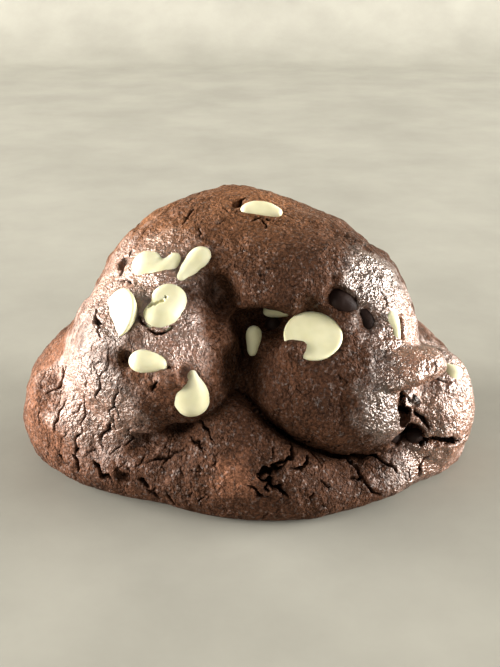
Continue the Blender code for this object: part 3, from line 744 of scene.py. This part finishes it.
def dough(p):
    """Signed distance (about) from p to the outside of the dough."""
    d = with_ellipsoids(np.full(len(p), FAR), p, LOBES, union)
    d = with_ellipsoids(d, p, HOLLOWS, carve)
    lip, blend, openness = from_lip(p)
    narrowing = 1.0 + np.minimum(d, lip) / GROOVE_DEPTH
    from_crease = GROOVE_SLOPE * np.abs(d - lip)
    groove = from_crease - GROOVE_WIDTH * openness * narrowing + 1.0 - openness
    d = carve(union(d, lip, blend), groove, GROOVE_BLEND)
    d = carve(d, from_seats(p), SEAT_BLEND)
    d = with_ellipsoids(d, p, FLAPS, union)
    d = with_ellipsoids(d, p, PITS, carve)
    return -union(waves(p, LUMPS) - d, p[:, 2], FOOT_ROUNDING)


def gradient(p, field, h=SLOPE_STEP):
    g = np.stack([field(p + o) - field(p - o) for o in np.eye(3) * h], 1)
    return g / (np.linalg.norm(g, axis=1, keepdims=True) + TINY)


def evaluate(field, points):
    parts = np.array_split(points, max(1, len(points) // POINTS_AT_ONCE))
    return np.concatenate([field(part) for part in parts])


def near_values(field, low, counts, step):
    """Field values on a grid, taken finely only near the surface."""
    blocks = [-(-n // COARSE) + 1 for n in counts]
    corners = np.indices(blocks).reshape(3, -1).T
    rough = evaluate(field, low + corners * step * COARSE).reshape(blocks)
    open_cells = np.abs(rough) < NEAR
    for axis in range(3):
        open_cells |= np.roll(open_cells, -1, axis)
    value, wanted = rough, open_cells
    for axis in range(3):
        value = np.repeat(value, COARSE, axis)
        wanted = np.repeat(wanted, COARSE, axis)
    inside = tuple(slice(0, n) for n in counts)
    value, wanted = value[inside].copy(), wanted[inside]
    at = np.argwhere(wanted)
    value[tuple(at.T)] = evaluate(field, low + at * step)
    return value


def zero_surface(field, low, high, step):
    """Points and four-sided faces of the closed surface on which the field is zero.

    Every grid cell that the surface passes through gets one point, the mean of the
    places where the surface crosses the cell's edges.
    """
    low = np.array(low)
    counts = [int(round((top - bottom) / step)) + 1 for bottom, top in zip(low, high)]
    value = near_values(field, low, counts, step)
    axes = np.eye(3, dtype=int)
    cells, crossings = [], []
    for axis in range(3):
        near = value[tuple(slice(0, n - a) for n, a in zip(counts, axes[axis]))]
        far = value[tuple(slice(a, n) for n, a in zip(counts, axes[axis]))]
        at = np.argwhere((near < 0) != (far < 0))
        start, end = near[tuple(at.T)], far[tuple(at.T)]
        share = (start / (start - end))[:, None]
        crossings.append(np.repeat(low + (at + axes[axis] * share) * step, 4, axis=0))
        one, two = axes[(axis + 1) % 3], axes[(axis + 2) % 3]
        around = [at, at - one, at - one - two, at - two]
        faces = np.stack([np.ravel_multi_index(tuple(c.T), counts) for c in around], 1)
        faces[start > 0] = faces[start > 0][:, ::-1]
        cells.append(faces)
    faces, where = np.concatenate(cells), np.concatenate(crossings)
    _, place = np.unique(faces.ravel(), return_inverse=True)
    total = [np.bincount(place, weights=where[:, i]) for i in range(3)]
    points = np.stack(total, 1) / np.bincount(place)[:, None]
    return points, place.reshape(-1, 4)


def settle(points, field, step):
    """Draw points that the grid left a little off the surface onto it."""
    reach = step / 4
    for _ in range(SETTLE_ROUNDS):
        slope = gradient(points, field, reach)
        points = points - slope * np.clip(field(points), -reach, reach)[:, None]
    return points


def largest_shell(points, faces):
    """Keep the shell with the most points, which drops scraps and sealed hollows."""
    label = np.arange(len(points))
    while True:
        lowest = label[faces].min(axis=1)
        new = label.copy()
        np.minimum.at(new, faces.ravel(), np.repeat(lowest, 4))
        new = new[new]
        if np.array_equal(new, label):
            break
        label = new
    kept = label == np.bincount(label).argmax()
    faces = faces[kept[faces[:, 0]]]
    index = np.cumsum(kept) - 1
    return points[kept], index[faces]


def surface(field, low, high, step):
    """Points and faces of the main shell on which the field is zero."""
    points, faces = zero_surface(field, low, high, step)
    return largest_shell(settle(points, field, step), faces)


def add_object(name, data):
    item = bpy.data.objects.new(name, data)
    bpy.context.scene.collection.objects.link(item)
    return item


def add_mesh(name, points, faces):
    """A smooth object from points in metres."""
    mesh = bpy.data.meshes.new(name)
    mesh.from_pydata(points, [], faces)
    mesh.shade_smooth()
    return add_object(name, mesh)


def add_piece(name, points, faces):
    return add_mesh(name, ((points - MIDDLE) * MM).tolist(), faces.tolist())


def chip_body(t, radius, blunt):
    """Radius of a chip at a share t of its height."""
    dome = np.sqrt(1.0 - t * t)
    drop = DROP_WAVE * (1.0 + np.cos(pi * t ** DROP_POWER)) / 2 + (1.0 - DROP_WAVE) * dome
    return radius * ((1.0 - blunt) * drop + blunt * dome)


def chip_chain(name):
    """Balls through a chip, as centres and radii, from its foot to its tip."""
    if name in MELTED_CHIPS:
        centres, sizes = zip(*MELTED_CHIPS[name])
        return np.array(centres), np.array(sizes)
    foot, tip, radius, height, blunt = DROP_CHIPS[name]
    t = np.linspace(0.0, 1.0, CHAIN_BALLS)
    centres = np.array(foot) + np.outer(t * height, np.array(tip) / np.linalg.norm(tip))
    return centres, chip_body(t, radius, blunt)


def from_chain(p, name):
    """Distance from p to the balls through a chip."""
    d = np.full(len(p), FAR)
    for centre, size in zip(*chip_chain(name)):
        d = union(d, np.linalg.norm(p - centre, axis=1) - size, MELT_BLEND)
    return d


def from_melted_chip(p, name):
    d = from_chain(p, name) - waves(p, CHIP_WAVES)
    for centre, size in CHIP_DENTS.get(name, ()):
        d = carve(d, np.linalg.norm(p - centre, axis=1) - size, DENT_BLEND)
    return d


def from_drop_chip(p, name):
    """Signed distance (about) from p to a chip with a flat foot and a drop's body."""
    foot, tip, radius, height, blunt = DROP_CHIPS[name]
    along, out = round_axis(p, foot, tip)
    body = chip_body(np.clip(along / height, 0.0, 1.0), radius, blunt)
    edge = BARE_EDGE if name in BARE_FACES else CHIP_EDGE
    d = carve(out - body, height - along, CHIP_TIP_ROUNDING)
    return carve(d, along, edge * radius) - waves(p, CHIP_WAVES)


def distance_to_chips(p):
    """Distance from p to the nearest chip, up to CHIP_NEAR."""
    d = np.full(len(p), CHIP_NEAR)
    for name in (*MELTED_CHIPS, *DROP_CHIPS):
        centres, sizes = chip_chain(name)
        middle = centres.mean(0)
        reach = (np.linalg.norm(centres - middle, axis=1) + sizes).max() + CHIP_NEAR
        close = np.linalg.norm(p - middle, axis=1) < reach
        d[close] = np.minimum(d[close], from_chain(p[close], name))
    return d


def creases(p):
    """Height of the crust's fine creases and granules at p."""
    warped = p + np.stack([waves(p, [layer]) for layer in CREASE_WARPS], 1)
    patches = np.clip(CREASE_COVER + waves(p, CREASE_PATCHES), 0.0, 1.0)
    height = waves(warped, GRANULES)
    for size, width, depth, seed in CREASES:
        height -= depth * patches * np.exp(-((noise(warped, size, seed) / width) ** 2))
    return height


def strength(p, areas):
    """How strongly p lies in any of the areas, from 0 to 1."""
    far = np.min([np.linalg.norm(p - middle, axis=1) / reach for middle, reach in areas], axis=0)
    return np.exp(-far ** 2)


def kept_in_box(points):
    """The points, with any that leave the box of the solids moved to its wall."""
    low, high = (np.array(corner) / MM + MIDDLE for corner in cad_box)
    return np.clip(points, low, high)


def build_dough():
    points, faces = surface(dough, GRID_LOW, GRID_HIGH, DOUGH_STEP)
    outward = gradient(points, dough)
    above = np.clip((points[:, 2] - RELIEF_BOTTOM) / RELIEF_RISE, 0.0, 1.0)
    swell = SWELL * np.exp(-((distance_to_chips(points) / SWELL_WIDTH) ** 2))
    height = (creases(points) + swell) * above
    item = add_piece("cookie_crumb", kept_in_box(points + outward * height[:, None]), faces)
    thin_out_base(item)
    cut_cracks(item)
    return item


def thin_out_base(item):
    """Make one face of the middle of the flat underside."""
    bm = bmesh.new()
    bm.from_mesh(item.data)
    flat = [face for face in bm.faces if face.calc_center_median().length < BASE_REACH * MM
            and all(vert.co.z < BASE_LEVEL * MM for vert in face.verts)]
    bmesh.ops.dissolve_faces(bm, faces=flat, use_verts=True)
    bm.to_mesh(item.data)
    bm.free()


def read_points(item, what="co"):
    """The places of a mesh's points in metres, or their normals."""
    values = np.empty(len(item.data.vertices) * 3)
    item.data.vertices.foreach_get(what, values)
    return values.reshape(-1, 3)


def refine_round(item, cracks):
    """Split the faces round the cracks into smaller ones."""
    points = read_points(item) / MM + MIDDLE
    close = cracks_shape(points, cracks)[1] < FINE_ROOM
    close &= points[:, 2] > FINE_BOTTOM
    bm = bmesh.new()
    bm.from_mesh(item.data)
    edges = [edge for edge in bm.edges if all(close[vert.index] for vert in edge.verts)]
    bmesh.ops.subdivide_edges(bm, edges=edges, cuts=FINE_CUTS, use_grid_fill=True)
    bm.to_mesh(item.data)
    bm.free()


def add_attribute(item, name, values):
    values = values.astype(np.float32)
    item.data.attributes.new(name, "FLOAT", "POINT").data.foreach_set("value", values)


def cut_cracks(item):
    """Press the cracks into the dough, and mark them, for the painted shade in them, and the areas of
    the crust, some of which carry painted light.
    """
    cracks = [*CRACKS, *random_cracks()]
    refine_round(item, cracks)
    points, outward = read_points(item) / MM + MIDDLE, read_points(item, "normal")
    depth, edge = cracks_shape(points, cracks)
    rim = CRACK_RIM * np.exp(-((edge / CRACK_RIM_WIDTH - 1.0) ** 2)) * (depth == 0)
    above = np.clip(points[:, 2] - FINE_BOTTOM, 0.0, 1.0)
    moved = kept_in_box(points + outward * ((rim - depth) * above)[:, None])
    item.data.vertices.foreach_set("co", ((moved - MIDDLE) * MM).ravel())
    item.data.update()
    # The crack's depth share sets the painted shade in it.
    add_attribute(item, "crack", np.clip(depth / CRACK_SHADE_DEPTH, 0.0, 1.0))
    for name, areas in AREAS.items():
        add_attribute(item, name, strength(points, areas))


def build_chip(name):
    centres, sizes = chip_chain(name)
    low = (centres - sizes[:, None]).min(0) - CHIP_ROOM
    high = (centres + sizes[:, None]).max(0) + CHIP_ROOM
    field = from_melted_chip if name in MELTED_CHIPS else from_drop_chip
    points, faces = surface(partial(field, name=name), low, high, CHIP_STEP)
    return add_piece(name + "_shown", points, faces)


def fill(tree, node, sockets):
    """Set or link a node's input sockets."""
    for key, value in sockets.items():
        if isinstance(value, bpy.types.NodeSocket):
            tree.links.new(value, node.inputs[key])
        else:
            node.inputs[key].default_value = value


def add_node(tree, kind, sockets=(), **settings):
    """A shader node, with values or links for its input sockets."""
    node = tree.nodes.new(kind)
    for name, value in settings.items():
        setattr(node, name, value)
    fill(tree, node, dict(sockets))
    return node


def vector_math(tree, operation, sockets):
    return add_node(tree, "ShaderNodeVectorMath", sockets, operation=operation).outputs[0]


def new_material(name):
    """A material with its node tree, shader and object coordinates in millimetres."""
    material = bpy.data.materials.new(name)
    material.use_nodes = True
    tree = material.node_tree
    place = add_node(tree, "ShaderNodeTexCoord").outputs["Object"]
    at = vector_math(tree, "SCALE", {0: place, "Scale": 1.0 / MM})
    return material, tree, tree.nodes["Principled BSDF"], at


def combined(tree, operation, first, second):
    return add_node(tree, "ShaderNodeMath", {0: first, 1: second}, operation=operation).outputs[0]


def noise_texture(tree, at, scale, detail, roughness, output="Fac"):
    return add_node(tree, "ShaderNodeTexNoise", {
        "Vector": at, "Scale": scale, "Detail": detail, "Roughness": roughness}).outputs[output]


def mapped(tree, value, from_low, from_high, to_low=0.0, to_high=1.0):
    return add_node(tree, "ShaderNodeMapRange", {
        0: value, 1: from_low, 2: from_high, 3: to_low, 4: to_high}).outputs[0]


def blended(tree, share, first, second, how="MIX"):
    return add_node(tree, "ShaderNodeMix", {0: share, 6: first, 7: second},
                    data_type="RGBA", blend_type=how).outputs[2]


def patchy(tree, at, patches, limits, tints):
    """A colour that wanders between two tints."""
    return blended(tree, mapped(tree, noise_texture(tree, at, *patches), *limits), *tints)


def attribute(tree, name):
    return add_node(tree, "ShaderNodeAttribute", attribute_name=name).outputs["Fac"]


def bumped(tree, height, amount, distance, under=()):
    """The normal of a bump of some millimetres, on top of one that lies under it."""
    return add_node(tree, "ShaderNodeBump", {
        "Height": height, "Strength": amount, "Distance": distance * MM,
        **dict(under)}).outputs["Normal"]


def crack_net(tree, at):
    """Share of a thin, broken net of cracks at each place."""
    shift = noise_texture(tree, at, *NET_SHIFT, output="Color")
    warped = vector_math(tree, "MULTIPLY_ADD", {0: shift, 1: NET_SHIFT_REACH, 2: at})
    tall = vector_math(tree, "MULTIPLY", {0: warped, 1: NET_STRETCH})
    edge = add_node(tree, "ShaderNodeTexVoronoi", {"Vector": tall, "Scale": NET_SCALE},
                    feature="DISTANCE_TO_EDGE").outputs["Distance"]
    line = mapped(tree, edge, *NET_LINE)
    patches = mapped(tree, noise_texture(tree, at, *NET_PATCHES), *NET_PATCH_LIMITS)
    return combined(tree, "MULTIPLY", line, patches)


def painted_crack_shade(tree, at):
    """1 on the crust and less in its cracks: it paints their shade on the colour, dims their shine and
    gives their bump.
    """
    lines = mapped(tree, crack_net(tree, at), *NET_SHADE)
    cracks = mapped(tree, attribute(tree, "crack"), *CRACK_SHADE)
    return combined(tree, "MULTIPLY", lines, cracks)


def ragged_area(tree, at, name, limits):
    """Share of a named area of the crust, with a ragged edge."""
    ragged = mapped(tree, noise_texture(tree, at, *RAGGED_EDGES), *RAGGED_EDGE_SHIFT)
    return mapped(tree, combined(tree, "ADD", ragged, attribute(tree, name)), *limits)


def dough_colour(tree, at, crack_shade_factor):
    plain = patchy(tree, at, DOUGH_PATCHES, PATCH_LIMITS, PLAIN_DOUGH_TINTS)
    # The pale colour is painted light on the sides that face the windows, and lighter patches at the
    # back.
    pale_and_lit = patchy(tree, at, DOUGH_PATCHES, PATCH_LIMITS, PALE_AND_LIT_DOUGH_TINTS)
    colour = blended(tree, ragged_area(tree, at, "pale_and_lit", PALE_AND_LIT_LIMITS), plain, pale_and_lit)
    # A lighter colour painted on the top as light from above.
    colour = blended(tree, attribute(tree, "lit_from_above"), colour, TOP_LIT_DOUGH_COLOUR)
    specks = mapped(tree, noise_texture(tree, at, *SPECKS), *SPECK_SHADE)
    colour = blended(tree, 1.0, colour, specks, "MULTIPLY")
    # Painted shade darkens the colour in the cracks.
    return blended(tree, 1.0, colour, crack_shade_factor, "MULTIPLY")


def dough_normal(tree, at, crack_shade_factor):
    coarse = bumped(tree, noise_texture(tree, at, *COARSE_GRAIN), *COARSE_BUMP)
    fine = bumped(tree, noise_texture(tree, at, *FINE_GRAIN), *FINE_BUMP, {"Normal": coarse})
    return bumped(tree, crack_shade_factor, *CRACK_BUMP, {"Normal": fine})


def dough_material():
    material, tree, shader, at = new_material("cocoa_dough")
    crack_shade_factor = painted_crack_shade(tree, at)
    sheen = ragged_area(tree, at, "sheen", SHEEN_LIMITS)
    glints = mapped(tree, noise_texture(tree, at, *GLINTS), *GLINT_GLOSS)
    gloss = combined(tree, "MAXIMUM", sheen, glints)
    satin = mapped(tree, attribute(tree, "satin"), *SATIN_ROUGHNESS)
    fill(tree, shader, {
        "Base Color": dough_colour(tree, at, crack_shade_factor),
        "Roughness": combined(tree, "ADD", mapped(tree, gloss, *GLOSS_ROUGHNESS), satin),
        "Specular IOR Level": combined(tree, "MULTIPLY", mapped(tree, gloss, *GLOSS_LEVEL), crack_shade_factor),
        "Normal": dough_normal(tree, at, crack_shade_factor),
        **DOUGH_FINISH})
    return material


def white_chip_material():
    material, tree, shader, at = new_material("white_chocolate")
    fill(tree, shader, {
        "Base Color": patchy(tree, at, WHITE_PATCHES, PATCH_LIMITS, WHITE_TINTS),
        "Normal": bumped(tree, noise_texture(tree, at, *WHITE_GRAIN), *WHITE_BUMP),
        **WHITE_FINISH})
    return material


def dark_chip_material():
    material, tree, shader, at = new_material("dark_chocolate")
    fill(tree, shader, {
        "Base Color": patchy(tree, at, DARK_PATCHES, ALL_LIMITS, DARK_TINTS),
        "Normal": bumped(tree, noise_texture(tree, at, *DARK_GRAIN), *DARK_BUMP),
        **DARK_FINISH})
    return material


def floor_material():
    material, tree, shader, at = new_material("pale_tabletop")
    fill(tree, shader, {
        "Base Color": patchy(tree, at, TABLETOP_PATCHES, PATCH_LIMITS, TABLETOP_TINTS),
        **TABLETOP_FINISH})
    return material


def build_floor():
    """A floor that curves up into a backdrop far behind the cookie."""
    bend = [(FLOOR_BACK + FLOOR_BEND * sin(a), FLOOR_BEND - FLOOR_BEND * cos(a)) for a in BEND_ANGLES]
    outline = [(FLOOR_FRONT, 0.0), (FLOOR_BACK, 0.0), *bend, (FLOOR_BACK + FLOOR_BEND, FLOOR_TOP)]
    verts = [(x, y, z) for y, z in outline for x in (-FLOOR_HALF_WIDTH, FLOOR_HALF_WIDTH)]
    faces = [(i, i + 1, i + 3, i + 2) for i in range(0, len(verts) - 2, 2)]
    item = add_mesh("tabletop", verts, faces)
    item.data.materials.append(floor_material())


def add_light(name, place, size, power, colour):
    light = bpy.data.lights.new(name, "AREA")
    light.shape = "RECTANGLE"
    light.size, light.size_y = size
    light.energy = power
    light.color = colour
    item = add_object(name, light)
    item.location = place
    item.rotation_euler = (Vector(place) - LIGHT_AIM).to_track_quat("Z", "Y").to_euler()


def build_lights():
    for light in LIGHTS:
        add_light(*light)
    world = bpy.data.worlds.new("room")
    world.use_nodes = True
    fill(world.node_tree, world.node_tree.nodes["Background"], ROOM_LIGHT)
    bpy.context.scene.world = world


def build_camera():
    camera = bpy.data.cameras.new("camera")
    camera.sensor_fit = "VERTICAL"
    camera.sensor_height = SENSOR
    camera.lens = FOCAL_PIXELS / FRAME_HEIGHT * SENSOR
    camera.shift_y = (AIM_ROW - FRAME_HEIGHT / 2) / FRAME_HEIGHT
    tilt = radians(CAMERA_TILT)
    back = Vector((0.0, -cos(tilt), sin(tilt)))
    item = add_object("camera", camera)
    item.location = CAMERA_AIM + back * CAMERA_DISTANCE
    item.rotation_euler = back.to_track_quat("Z", "Y").to_euler()
    bpy.context.scene.camera = item


def show_piece(item, node, material):
    item.data.materials.append(material)
    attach(item, "root")
    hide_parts(node)


def build_cookie():
    show_piece(build_dough(), "cookie_dough", dough_material())
    white, dark = white_chip_material(), dark_chip_material()
    for name in (*MELTED_CHIPS, *DROP_CHIPS):
        if name.startswith("white"):
            show_piece(build_chip(name), name, white)
        else:
            show_piece(build_chip(name), name, dark)


build_cookie()
build_floor()
build_lights()
build_camera()
bpy.context.scene.view_settings.view_transform = "Standard"
